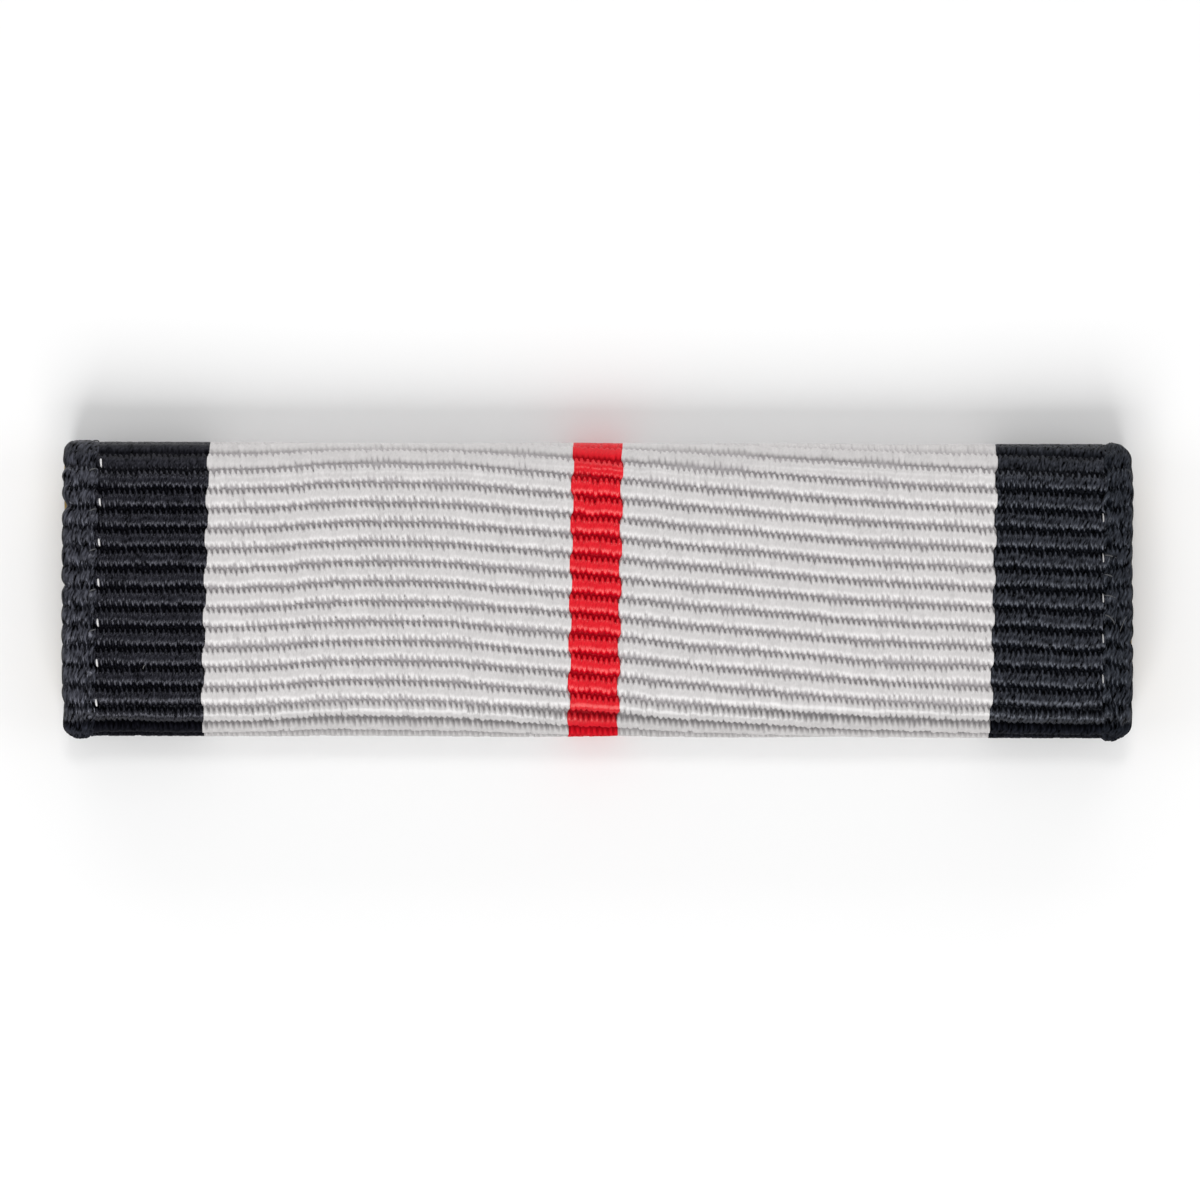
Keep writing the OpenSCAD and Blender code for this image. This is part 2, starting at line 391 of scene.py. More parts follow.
def step_aside(border, s):
    """A quarter thread to the right on every second rib and to the left on the others: a sine wave of two
    ribs, flattened by tanh. A border is its x and 1, or -1 where the other ribs step to the right."""
    x, turned = border
    q = (s - FIRST_VALLEY - fall(x)) / RIB
    size = THREAD / 4 * (1 - CALM * rise(np.abs(s), CALM_FROM, CALM_OVER))
    return turned * size * np.tanh(3 * np.sin(np.pi * q)) / np.tanh(3.0)


def between_threads(x, turned):
    """The border nearest to x that runs between threads on every rib."""
    start = THREAD_FROM - turned * THREAD / 4
    return (np.round((x - start) / THREAD - 0.5) + 0.5) * THREAD + start, turned


print("a border steps by", round(2 * float(step_aside((0.0, 1), FIRST_VALLEY + RIB * 0.7)), 3), "mm")


# %% [markdown]
# ## Making the surfaces
#
# Every stripe is a closed sleeve: a loop of points round the cloth's own cross-section, carried along the
# path. The rows follow the ribs, so the same few rows to a rib describe every rib equally well. They lie
# closer in the valleys, where the shape changes most, and further apart behind, where little shows.

# %% Rows of points
CLOSE = (0.01, 0.07, 0.115, 0.17, 0.24, 0.32, 0.45, 0.6, 0.73, 0.82, 0.89, 0.94, 0.975)
WIDE = (0.0, 0.16, 0.5, 0.84)
SHOWS = 4.9  # half the length of path on which the rows lie close
RAGGED = 0.05  # how unevenly the cut ends are cut
FADE_FROM = 5.9  # path position behind, from which the rows turn level towards the cut end
CUT_REACH = 0.3  # length of cloth that follows the uneven cut
NEAR_CUT = 0.02  # no other row lies nearer to the cut than this
RIBS_EACH_WAY = 16  # more than half the path holds
ragged_table = chance.uniform(-1, 0, 4096)


def rows_for(x_from, x_to, shift=0.0):
    """Path positions of a stripe's rows before the ribs' fall is added, close together where they show."""
    falls = fall(np.linspace(x_from, x_to, 50))
    rows = [-HALF_LEN, HALF_LEN]
    for rib in range(-RIBS_EACH_WAY, RIBS_EACH_WAY):
        middle = FIRST_VALLEY + shift + (rib + 0.5) * RIB
        shows = -SHOWS - falls.max() < middle < SHOWS - falls.min()
        rows += [FIRST_VALLEY + shift + (rib + share) * RIB for share in (CLOSE if shows else WIDE)]
    rows = np.array(sorted(rows))
    return rows[(np.abs(rows) <= HALF_LEN - NEAR_CUT) | (np.abs(rows) == HALF_LEN)]


def follow_ribs(rows, x):
    """Path position of each point: the row moved down by the ribs' fall, which fades towards the cut ends.
    There the last rows are a little uneven, thread by thread, as scissors leave them."""
    fade = 1 - rise(np.abs(rows), FADE_FROM, HALF_LEN - FADE_FROM)
    near_end = np.clip((np.abs(rows) - HALF_LEN + CUT_REACH) / CUT_REACH, 0, 1)
    cut = RAGGED * ragged_table[np.round((x - LEFT_X) / THREAD * 2).astype(int) % len(ragged_table)]
    return rows[:, None] + fade[:, None] * fall(x) + (np.sign(rows) * near_end)[:, None] * cut


print(len(rows_for(-12, -1)), "rows on the left field")


# %% A closed sleeve as a mesh
def fill_mesh(name, points, loops, starts, facts):
    """An object from points in mm, the vertex of every face corner, and where each face starts among them.
    facts are named numbers for each point, kept as attributes for the materials."""
    mesh = bpy.data.meshes.new(name)
    mesh.vertices.add(len(points))
    mesh.vertices.foreach_set("co", (points * MM).ravel())
    mesh.loops.add(len(loops))
    mesh.loops.foreach_set("vertex_index", loops.astype(np.int32))
    mesh.polygons.add(len(starts))
    mesh.polygons.foreach_set("loop_start", starts.astype(np.int32))
    mesh.update(calc_edges=True)
    for key, value in facts.items():
        flat = value.reshape(len(points), -1)
        layer = mesh.attributes.new(key, "FLOAT_VECTOR" if flat.shape[1] == 3 else "FLOAT", "POINT")
        layer.data.foreach_set("vector" if flat.shape[1] == 3 else "value", flat.astype(np.float32).ravel())
    piece = bpy.data.objects.new(name, mesh)
    bpy.context.scene.collection.objects.link(piece)
    return piece


def sleeve(name, x, s, r, facts, corners):
    """Rows that are closed loops through the points (x, s, r), joined by quads, with the first and last loop
    closed. The edges along the columns in corners are left sharp."""
    y, z = wrap(s, r)
    rows, count = x.shape
    index = np.arange(rows * count).reshape(rows, count)
    a, b = index[:-1], index[1:]
    quads = np.stack([a, b, np.roll(b, -1, 1), np.roll(a, -1, 1)], axis=-1).reshape(-1, 4)
    loops = np.concatenate([quads.ravel(), index[0], index[-1][::-1]])
    starts = np.concatenate([np.arange(len(quads)) * 4, [len(quads) * 4, len(quads) * 4 + count]])
    piece = fill_mesh(name, np.stack([x, y, z], axis=-1).reshape(-1, 3), loops, starts, facts)
    mesh = piece.data
    smooth = np.ones(len(starts), bool)
    smooth[-2:] = False
    mesh.polygons.foreach_set("use_smooth", smooth)
    ends = np.zeros(len(mesh.edges) * 2, np.int32)
    mesh.edges.foreach_get("vertices", ends)
    ends = ends.reshape(-1, 2) % count
    sharp = (ends[:, 0] == ends[:, 1]) & np.isin(ends[:, 0], [c % count for c in corners])
    mesh.edges.foreach_set("use_edge_sharp", sharp)
    mesh.update()
    return piece


def solid_volume(piece):
    """Volume in mm3 by the divergence theorem: a sixth of the sum of each triangle's triple product. It is
    above 0 only when the faces look outward."""
    mesh = piece.data
    mesh.calc_loop_triangles()
    corner = np.zeros(len(mesh.loop_triangles) * 3, np.int32)
    mesh.loop_triangles.foreach_get("vertices", corner)
    points = np.zeros(len(mesh.vertices) * 3)
    mesh.vertices.foreach_get("co", points)
    p = points.reshape(-1, 3)[corner.reshape(-1, 3)] / MM
    return float(np.einsum("ij,ij->i", p[:, 0], np.cross(p[:, 1], p[:, 2])).sum() / 6)


def dress(piece, node, material):
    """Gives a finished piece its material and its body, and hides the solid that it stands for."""
    piece.data.materials.append(material)
    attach(piece, "root")
    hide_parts(node)
    volume = solid_volume(piece)
    print(piece.name, len(piece.data.loop_triangles), "triangles,", round(volume, 1), "mm3")
    return piece


# %% [markdown]
# ## The look of the yarn
#
# Every stripe is spun and woven in the same way and only has another dye. So one node group works out
# what all yarns share: deep places get painted shade, no two threads are quite the same, fine filaments run
# along each thread, the folds have lost their shine, and the lower fold gets patches of painted shade. Each
# stripe's own material gives the group its two colours: the yarn's own and the painted shade of deep places.

# %% Small helpers for node trees
def add(tree, kind, place, **settings):
    """A new node of that kind, with its properties and its unlinked inputs set by name."""
    node = tree.nodes.new(kind)
    node.location = place
    for key, value in settings.items():
        if key in node.inputs:
            node.inputs[key].default_value = value
        else:
            setattr(node, key, value)
    return node


def join(tree, *links):
    """Links outputs to inputs. Each link is a node, its output, the next node and that one's input."""
    for source, output, target, to in links:
        tree.links.new(source.outputs[output], target.inputs[to])


def sockets(group, way, **kinds):
    """Adds named sockets to a node group. A name's underscores stand for spaces."""
    for name, kind in kinds.items():
        group.interface.new_socket(name.replace("_", " "), in_out=way, socket_type="NodeSocket" + kind)


# %% The yarn group
TWIST = 0.35  # how far the filaments lean from the thread's run, in radians
yarn = bpy.data.node_groups.new("yarn", "ShaderNodeTree")
sockets(yarn, "INPUT", Colour="Color", Deep_colour="Color", Dust="Color", Unevenness="Float")
sockets(yarn, "INPUT", Filaments="Float", Grain="Vector", Roughness="Float", Gloss="Float")
sockets(yarn, "INPUT", Fibre_relief="Float")
sockets(yarn, "OUTPUT", Colour="Color", Roughness="Float", Gloss="Float", Normal="Vector")
asked = add(yarn, "NodeGroupInput", (-900, 0))
result = add(yarn, "NodeGroupOutput", (900, 0))
# Painted shade: the deeper a point lies in the weave, the nearer its colour is to the deep colour.
shade = add(yarn, "ShaderNodeAttribute", (-900, 300), attribute_name="shade")
tint = add(yarn, "ShaderNodeAttribute", (-900, -250), attribute_name="tint")
cloth = add(yarn, "ShaderNodeAttribute", (-900, -450), attribute_name="cloth")
# Painted shade: the lower fold is darkened in noisy patches towards a dark colour given by each dye.
fold_shade = add(yarn, "ShaderNodeAttribute", (-900, 500), attribute_name="fold_shade")
dulled = add(yarn, "ShaderNodeAttribute", (-900, 700), attribute_name="dulled")
stretch = add(yarn, "ShaderNodeMapping", (-700, -450), vector_type="TEXTURE", Rotation=(0.0, 0.0, TWIST))
filament = add(yarn, "ShaderNodeTexNoise", (-500, -450), Scale=1.0, Detail=2.0, Roughness=0.6)
fold_shade_blots = add(yarn, "ShaderNodeTexNoise", (-500, 550), Scale=7.0, Detail=4.0, Roughness=0.7)
fold_shade_patches = add(yarn, "ShaderNodeMath", (-300, 500), operation="MULTIPLY")
depth_shaded = add(yarn, "ShaderNodeMix", (-300, 200), data_type="RGBA")
fold_shaded = add(yarn, "ShaderNodeMix", (-100, 250), data_type="RGBA")
uneven = add(yarn, "ShaderNodeMath", (-500, -150), operation="MULTIPLY")
fine = add(yarn, "ShaderNodeMath", (-300, -350), operation="MULTIPLY_ADD")
fine_off = add(yarn, "ShaderNodeMath", (-300, -500), operation="SUBTRACT")
fine_off.inputs[1].default_value = 0.5
level = add(yarn, "ShaderNodeMath", (-100, -200), operation="ADD")
level.inputs[1].default_value = 1.0
lit = add(yarn, "ShaderNodeVectorMath", (100, 150), operation="SCALE")
rubbed = add(yarn, "ShaderNodeMath", (-100, -50), operation="MULTIPLY_ADD")
rubbed.inputs[1].default_value = 0.4
rough = add(yarn, "ShaderNodeMath", (100, -150), operation="MULTIPLY_ADD")
rough.inputs[1].default_value = 0.35
dull = add(yarn, "ShaderNodeMath", (-100, 50), operation="MULTIPLY_ADD")
dull.inputs[1].default_value, dull.inputs[2].default_value = -0.8, 1.0
matt = add(yarn, "ShaderNodeMath", (-100, 450), operation="MULTIPLY_ADD")
matt.inputs[1].default_value, matt.inputs[2].default_value = -0.85, 1.0
shine = add(yarn, "ShaderNodeMath", (100, 300), operation="MULTIPLY")
glint = add(yarn, "ShaderNodeMath", (100, 0), operation="MULTIPLY")
glint_level = add(yarn, "ShaderNodeMath", (300, 0), operation="MULTIPLY")
bump = add(yarn, "ShaderNodeBump", (300, -400), Distance=0.00001)
join(
    yarn,
    (shade, "Fac", depth_shaded, "Factor"),
    (asked, "Colour", depth_shaded, "A"),
    (asked, "Deep colour", depth_shaded, "B"),
    (cloth, "Vector", fold_shade_blots, "Vector"),
    (fold_shade, "Fac", fold_shade_patches, 0),
    (fold_shade_blots, "Fac", fold_shade_patches, 1),
    (fold_shade_patches, "Value", fold_shaded, "Factor"),
    (depth_shaded, "Result", fold_shaded, "A"),
    (asked, "Dust", fold_shaded, "B"),
    (cloth, "Vector", stretch, "Vector"),
    (asked, "Grain", stretch, "Scale"),
    (stretch, "Vector", filament, "Vector"),
    (tint, "Fac", uneven, 0),
    (asked, "Unevenness", uneven, 1),
    (filament, "Fac", fine_off, 0),
    (fine_off, "Value", fine, 0),
    (asked, "Filaments", fine, 1),
    (uneven, "Value", fine, 2),
    (fine, "Value", level, 0),
    (fold_shaded, "Result", lit, 0),
    (level, "Value", lit, "Scale"),
    (lit, "Vector", result, "Colour"),
    (fine_off, "Value", rough, 0),
    (dulled, "Fac", rubbed, 0),
    (asked, "Roughness", rubbed, 2),
    (rubbed, "Value", rough, 2),
    (rough, "Value", result, "Roughness"),
    (shade, "Fac", dull, 0),
    (dulled, "Fac", matt, 0),
    (dull, "Value", shine, 0),
    (matt, "Value", shine, 1),
    (shine, "Value", glint, 0),
    (level, "Value", glint, 1),
    (glint, "Value", glint_level, 0),
    (asked, "Gloss", glint_level, 1),
    (glint_level, "Value", result, "Gloss"),
    (asked, "Fibre relief", bump, "Strength"),
    (filament, "Fac", bump, "Height"),
    (bump, "Normal", result, "Normal"),
)
print(len(yarn.nodes), "nodes in the yarn group")


# %% One material to a dye
# The first colour here is painted shade: the colour towards which the lower fold is darkened.
YARN = {
    "Dust": (0.15, 0.15, 0.145, 1), "Unevenness": 0.025, "Filaments": 0.35, "Grain": (0.055, 0.14, 1),
    "Roughness": 0.34, "Gloss": 0.5, "Fibre relief": 0.3,
}


def dye(name, colour, deep, reflex=(1.0, 1.0, 1.0), **others):
    """A yarn of that colour, with the tint of its shine in reflex. What isn't given is as in YARN. An
    underscore in a name stands for a space."""
    material = bpy.data.materials.new(name)
    material.use_nodes = True
    tree = material.node_tree
    shader = tree.nodes["Principled BSDF"]
    shader.inputs["Specular Tint"].default_value = (*reflex, 1)
    group = add(tree, "ShaderNodeGroup", (-300, 200), node_tree=yarn)
    given = {"Colour": (*colour, 1), "Deep colour": (*deep, 1)}
    given |= YARN | {key.replace("_", " "): value for key, value in others.items()}
    for key, value in given.items():
        group.inputs[key].default_value = value
    join(
        tree,
        (group, "Colour", shader, "Base Color"),
        (group, "Roughness", shader, "Roughness"),
        (group, "Gloss", shader, "Specular IOR Level"),
        (group, "Normal", shader, "Normal"),
    )
    return material


# The second colour of each dye is painted shade, for the deep places of the weave.
white = dye("white_yarn", (0.58, 0.562, 0.56), (0.42, 0.4, 0.41), Gloss=0.8)
red = dye(
    "red_yarn", (0.68, 0.003, 0.014), (0.4, 0.0, 0.008), (1.0, 0.6, 0.55),
    Dust=(0.15, 0.005, 0.008, 1), Filaments=0.6, Gloss=0.56, Roughness=0.3, Fibre_relief=0.4,
)
DARK = {"Dust": (0.003, 0.003, 0.004, 1), "Unevenness": 0.12, "Filaments": 4.0, "Fibre_relief": 0.9}
BLUISH, COOL = (0.86, 0.87, 1.0), (0.82, 0.87, 1.0)
left_black = dye(
    "left_black_yarn", (0.0038, 0.0038, 0.0066), (0.0012, 0.0012, 0.0024), BLUISH,
    Gloss=0.32, Roughness=0.3, **DARK,
)
right_black = dye(
    "right_black_yarn", (0.0046, 0.0052, 0.0085), (0.0018, 0.0022, 0.0036), COOL,
    Gloss=0.4, Roughness=0.36, **DARK | {"Filaments": 5.5, "Grain": (0.07, 0.22, 1)},
)
EDGE_YARN = DARK | {"Grain": (0.075, 0.3, 1), "Roughness": 0.38, "Filaments": 6.0}
left_edge_yarn = dye(
    "left_edge_yarn", (0.01, 0.011, 0.0165), (0.0036, 0.0038, 0.0056), BLUISH, Gloss=0.54, **EDGE_YARN
)
right_edge_yarn = dye(
    "right_edge_yarn", (0.0078, 0.0094, 0.0135), (0.0026, 0.0031, 0.0046), COOL, Gloss=0.3, **EDGE_YARN
)
dyes = (white, red, left_black, right_black, left_edge_yarn, right_edge_yarn)
print("dyes:", [material.name for material in dyes])

# %% [markdown]
# ## The stripes
#
# On the real bar the stripes are one cloth. Here each is a piece of its own, because each has its own dye. A
# stripe has nearly six columns to a thread, so that each thread has a back and each gap a bottom. The inner
# side lies hidden against the metal, and three columns are enough for it. What a material can't see in the
# shape goes along as numbers on the mesh, such as painted shade by depth in the weave and on the lower fold.

# %% Painted shade and lost shine
SHADE_FROM, SHADE_OVER = 0.055, 0.11
BEHIND = (2.8, 1.4)  # where painted shade and lost shine fade behind a fold: start past the flat, length


def shade_of(height):
    """Painted shade from 0 to 1 by depth in the weave: its depth past SHADE_FROM divided by SHADE_OVER."""
    return np.clip((-height - SHADE_FROM) / SHADE_OVER, 0, 1)


def lower_fold_shade(s):
    """How much painted shade the lower fold gets, from 0 to 1."""
    past = s - FOLD_Y
    return rise(past, 0.1, 0.6) * (1 - rise(past, *BEHIND))


def dulled_at(s):
    """How far the shine has gone: on the lower fold more than on the upper one, whose edge has kept some."""
    past = np.abs(s) - FOLD_Y
    upper = 0.55 * rise(past, 0.5, 0.4) - 0.35 * rise(past, 1.35, 0.4)
    lower = rise(past, 0.75, 0.3)
    return np.where(s < 0, upper, lower) * (1 - rise(past, *BEHIND))


def facts_of(x, s, shade, tint):
    """What the materials are told about each point. The lower fold's painted shade deepens in the gaps."""
    spot = np.stack([x, s, 0 * x], axis=-1)
    fold_shade = lower_fold_shade(s) * (0.4 + 0.6 * shade)
    return {"shade": shade, "tint": tint, "cloth": spot, "fold_shade": fold_shade, "dulled": dulled_at(s)}


print("shine lost on the upper fold", dulled_at(np.array([-3.4, -4.4, -5.4])).round(2))


# %% A stripe of the cloth
def stripe(node, border_from, border_to, material, columns, kind=CLOTH):
    """One stripe from border to border: the woven face, two flat sides and a plain inner side."""
    x_from, x_to = border_from[0], border_to[0]
    rest = np.linspace(x_from, x_to, columns + 1)
    rows = rows_for(x_from, x_to)
    s = follow_ribs(rows, rest[None, :])
    near_left = np.clip(1 - (rest - x_from) / THREAD, 0, 1)
    near_right = np.clip(1 - (x_to - rest) / THREAD, 0, 1)
    face_x = rest + near_left * step_aside(border_from, s) + near_right * step_aside(border_to, s)
    height, tint = weave(face_x, s, kind)
    inner = [columns, columns // 2, 0]
    x = np.concatenate([face_x, face_x[:, inner]], axis=1)
    s_all = np.concatenate([s, s[:, inner]], axis=1)
    r = np.concatenate([CREST_R + height, np.full((len(rows), 3), INNER_R)], axis=1)
    back = np.zeros((len(rows), 3))
    # Painted shade: darker the deeper a point lies in the weave, and somewhat on the hidden inner side.
    shade = np.concatenate([shade_of(height), back + 0.3], axis=1)
    facts = facts_of(x, s_all, shade, np.concatenate([tint, back], axis=1))
    corners = (0, columns, columns + 1, columns + 3)
    piece = sleeve("cloth_" + node[7:], x + drift(x, s_all), s_all, r, facts, corners)
    return dress(piece, node, material)


def sides(node):
    """The x of a solid's left and right side."""
    return mm_box(node)[0][0], mm_box(node)[1][0]


# Small shifts in mm bring three borders nearer to where the real cloth has them, halfway down the face.
SHIFT_2, SHIFT_3, SHIFT_4 = 0.08, -0.08, -0.05
border_1 = (sides("ribbon_border_left")[0], 1)
border_2 = between_threads(sides("ribbon_border_left")[1] + SHIFT_2, 1)
border_3 = between_threads(sides("ribbon_centre")[0] + SHIFT_3, -1)
border_4 = between_threads(sides("ribbon_centre")[1] + SHIFT_4, -1)
border_5 = between_threads(sides("ribbon_border_right")[0], -1)
border_6 = (sides("ribbon_border_right")[1], 1)
borders = (border_1, border_2, border_3, border_4, border_5, border_6)
print("borders at", [round(float(border[0]), 3) for border in borders])

# %% The five stripes
FIELD_COLUMNS, CENTRE_COLUMNS, BORDER_COLUMNS = 384, 60, 120
field_left = stripe("ribbon_field_left", border_2, border_3, white, FIELD_COLUMNS)
field_right = stripe("ribbon_field_right", border_4, border_5, white, FIELD_COLUMNS)
middle = stripe("ribbon_centre", border_3, border_4, red, CENTRE_COLUMNS, RED_CLOTH)
border_left = stripe("ribbon_border_left", border_1, border_2, left_black, BORDER_COLUMNS, BLACK_CLOTH)
border_right = stripe("ribbon_border_right", border_5, border_6, right_black, BORDER_COLUMNS, BLACK_CLOTH)

# %% [markdown]
# ## The selvedges
#
# At both edges the weft turns back, and there the cloth is denser, rounder and less even: its threads lean to
# and fro, and its ribs lie a little above the ribs of the cloth. A tube along the edge would look
# added, so the edge is made of the cloth itself, which turns in a half circle from the face to the inner
# side, and every rib bulges on it. At the corners the edge is pulled in, so that the bar's outline is round
# there. Where it draws back furthest, the brass shows.

# %% How the edge runs
SELVEDGE = dict(
    thread=0.152, arch=0.22, crest=-0.25, reach_up=0.42, reach_down=1.0, dive_from=0.5,
    width_at=np.array([(-0.5, 0.3), (-0.35, 0.7), (-0.2, 1.05), (0.2, 1.05), (0.4, 0.8), (0.55, 0.3)]).T,
    top_round=0.04, end_round=0.06, rough=0.012, stagger=0.07, slide=0.1, sway=0.35, rise_to=-0.5,
    gape=0.0, bite=0.0,
)
SPREAD = 0.3  # width over which the cloth swells from the border outwards
FOLD_SWELL = 0.8  # how much more it swells on the lower fold, as a share of SWELL
SELVEDGE_SHADE = 0.55  # how much painted shade its gaps get, as a share of the cloth's
FLAT_COLUMNS, EDGE_COLUMNS = 32, 16
PIT_OUT, PIT_R, PIT_DEPTH = 0.16, 0.085, 0.15  # the holes: distance from the border, radius and depth
BULGE_SHARPNESS, BULGE_MEAN = 0.8, 0.6
BULGE_FADE, BULGE_FADE_FROM, BULGE_FADE_OVER = 0.85, 3.5, 0.8  # what the bulges lose on the folds, and where
EDGE_R = (CREST_R + SWELL - INNER_R) / 2
EDGE_MID_R = (CREST_R + SWELL + INNER_R) / 2
pit_size = chance.uniform(0.4, 1.0, RIBS)
bulge_size = chance.normal(0, 0.3, RIBS)


def corner_inset(s, upper, lower):
    """How far the edge is pulled in near the corners: radius - sqrt(radius^2 - past^2), with past the
    distance up or down from where the rounding starts."""
    y = wrap(s, CREST_R)[0]
    radius = np.where(y > 0, upper, lower)
    past = np.clip(np.abs(y) - (FOLD_Y + CREST_R - radius), 0, radius)
    return radius - np.sqrt(radius**2 - past**2)


def pits(out, x, s):
    """Depth of the small holes beside the border, one to each rib, at its middle: a bell both ways."""
    q = (s - FIRST_VALLEY - fall(x)) / RIB
    rib = np.floor(q)
    near = ((out - PIT_OUT) / PIT_R) ** 2 + ((q - rib - 0.5) * RIB / PIT_R) ** 2
    return PIT_DEPTH * pit_size[rib.astype(int) % RIBS] * np.exp(-near)


def bumps(s, phase, size):
    """How far the ribs stand out on the edge: size * (|cos(pi q)|^sharpness - mean), a round bump to each rib
    with a notch between, of uneven size. They fade towards the folds."""
    q = (s - FIRST_VALLEY - fall(0.0)) / RIB - phase
    size = size * (1 + bulge_size[np.round(q).astype(int) % RIBS])
    fade = 1 - BULGE_FADE * rise(np.abs(s), BULGE_FADE_FROM, BULGE_FADE_OVER)
    return size * (np.abs(np.cos(np.pi * q)) ** BULGE_SHARPNESS - BULGE_MEAN) * fade


def bells(s, places):
    """The sum of a few bells along the path, each given by its height y, its half width and its size."""
    return sum(size * np.exp(-(((s - path_at(np.array(y))) / half) ** 2)) for y, half, size in places)


print("the edge turns with a radius of", round(EDGE_R, 3), "mm")


# %% A selvedge
def selvedge(node, side, border, material, shift, phase, bump, radii, low_spread, peeks):
    """The turned edge on one side, -1 for left. out runs from the border to the edge and on round the half
    circle, where x is side * EDGE_R * sin(turn) past its centre and the radius is
    EDGE_MID_R + EDGE_R * cos(turn). Its ribs lie shift lower than the cloth's and bulge by bump, with the
    first bulge at phase. radii round the upper and the lower corner, low_spread is the width of the swelling
    on the lower fold, and peeks are the places where the edge draws back."""
    border_x = border[0]
    flat = abs((LEFT_X if side < 0 else RIGHT_X) - border_x) - EDGE_R
    top = np.linspace(0, flat, FLAT_COLUMNS)
    turn = np.linspace(0, np.pi, EDGE_COLUMNS + 1)[1:]
    out = np.concatenate([top, flat + EDGE_R * turn])
    turn = np.concatenate([0 * top, turn])
    rest = border_x + side * out
    rows = rows_for(rest.min(), rest.max(), shift)
    s = follow_ribs(rows, rest[None, :])
    height, tint = weave(rest[None, :] + 0 * s, s, SELVEDGE, shift)
    height = height * (1 - 0.6 * rise(np.abs(s), 4.1, 0.6))
    hole = pits(out, rest[None, :], s)
    lift = (height - hole) * (1 - rise(turn, 0, 1.3))
    flat_out = np.minimum(out, flat) + (EDGE_R + lift + bumps(s, phase, bump)) * np.sin(turn)
    pulled = (corner_inset(s, *radii) + bells(s, peeks)) * (np.minimum(out, flat) / flat) ** 3
    near = np.clip(1 - out / THREAD, 0, 1) * side * step_aside(border, s)
    x = border_x + side * (flat_out - pulled + near)
    lower = rise(s, FOLD_Y, 0.8)
    fading = 1 - 0.6 * rise(out, 0.55, 0.4)
    part = np.clip(out / (SPREAD + (low_spread - SPREAD) * lower), 0, 1)
    swell = ease(part) + lower * (np.sin(np.pi / 2 * part) - ease(part))
    swell = SWELL * swell * (1 + FOLD_SWELL * lower * fading)
    r = np.where(turn > 0, EDGE_MID_R + (EDGE_R + lift) * np.cos(turn), CREST_R + swell + lift)
    back_out = np.array([flat / 2, 0.0])
    back_x = np.broadcast_to(border_x + side * back_out, (len(rows), 2))
    back_x = back_x + side * near[:, :1] * (back_out == 0)
    x = np.concatenate([x, back_x], axis=1)
    s = np.concatenate([s, s[:, [len(top) // 2, 0]]], axis=1)
    r = np.concatenate([r, np.full((len(rows), 2), INNER_R)], axis=1)
    # Painted shade: gaps darken with depth, the outer half of the turned edge is nearly fully shaded, and the
    # inner side a little.
    shade = np.maximum(SELVEDGE_SHADE * shade_of(height - hole), 0.95 * rise(turn, 0.75, 0.45))
    shade = np.concatenate([shade, np.full((len(rows), 2), 0.3)], axis=1)
    tint = np.concatenate([tint, np.zeros((len(rows), 2))], axis=1)
    spread = np.concatenate([rest, border_x + side * back_out]) + 0 * x
    if side < 0:
        x, s, r, shade, tint, spread = (values[:, ::-1] for values in (x, s, r, shade, tint, spread))
    facts = facts_of(spread, s, shade, tint)
    piece = sleeve("cloth_" + node[7:], x + drift(spread, s), s, r, facts, (0, x.shape[1] - 1))
    return dress(piece, node, material)


LEFT_PHASE = 0.72 + (fall(0.0) - fall(LEFT_X)) / RIB
RIGHT_PHASE = (fall(RIGHT_X) - fall(0.0)) / RIB
# height y, half width and size of each peek
LEFT_PEEKS = ((4.05, 0.2, 0.07), (3.5, 0.12, 0.05), (2.72, 0.22, 0.13), (0.1, 0.12, 0.05), (-3.9, 0.5, 0.06))
RIGHT_PEEKS = ((-1.65, 0.15, 0.05), (-3.8, 0.2, 0.04), (1.0, 1.2, 0.03), (4.2, 0.5, 0.04))
selvedge_left = selvedge(
    "ribbon_selvedge_left", -1, border_1, left_edge_yarn,
    shift=-0.07, phase=LEFT_PHASE, bump=0.065, radii=(0.12, 0.14), low_spread=0.6, peeks=LEFT_PEEKS,
)
selvedge_right = selvedge(
    "ribbon_selvedge_right", 1, border_6, right_edge_yarn,
    shift=-0.17, phase=RIGHT_PHASE, bump=0.045, radii=(0.42, 0.3), low_spread=0.2, peeks=RIGHT_PEEKS,
)

# %% [markdown]
# ## Stitches and stray fibres
#
# A pale catch thread ties each selvedge to the cloth, and shows as one short stitch on every second rib. A
# thread so short could be painted on, but a small tube casts its own shadow and catches its own light. All
# strands are tubes round a path, swept at once: rings of points square to the path, as one array.

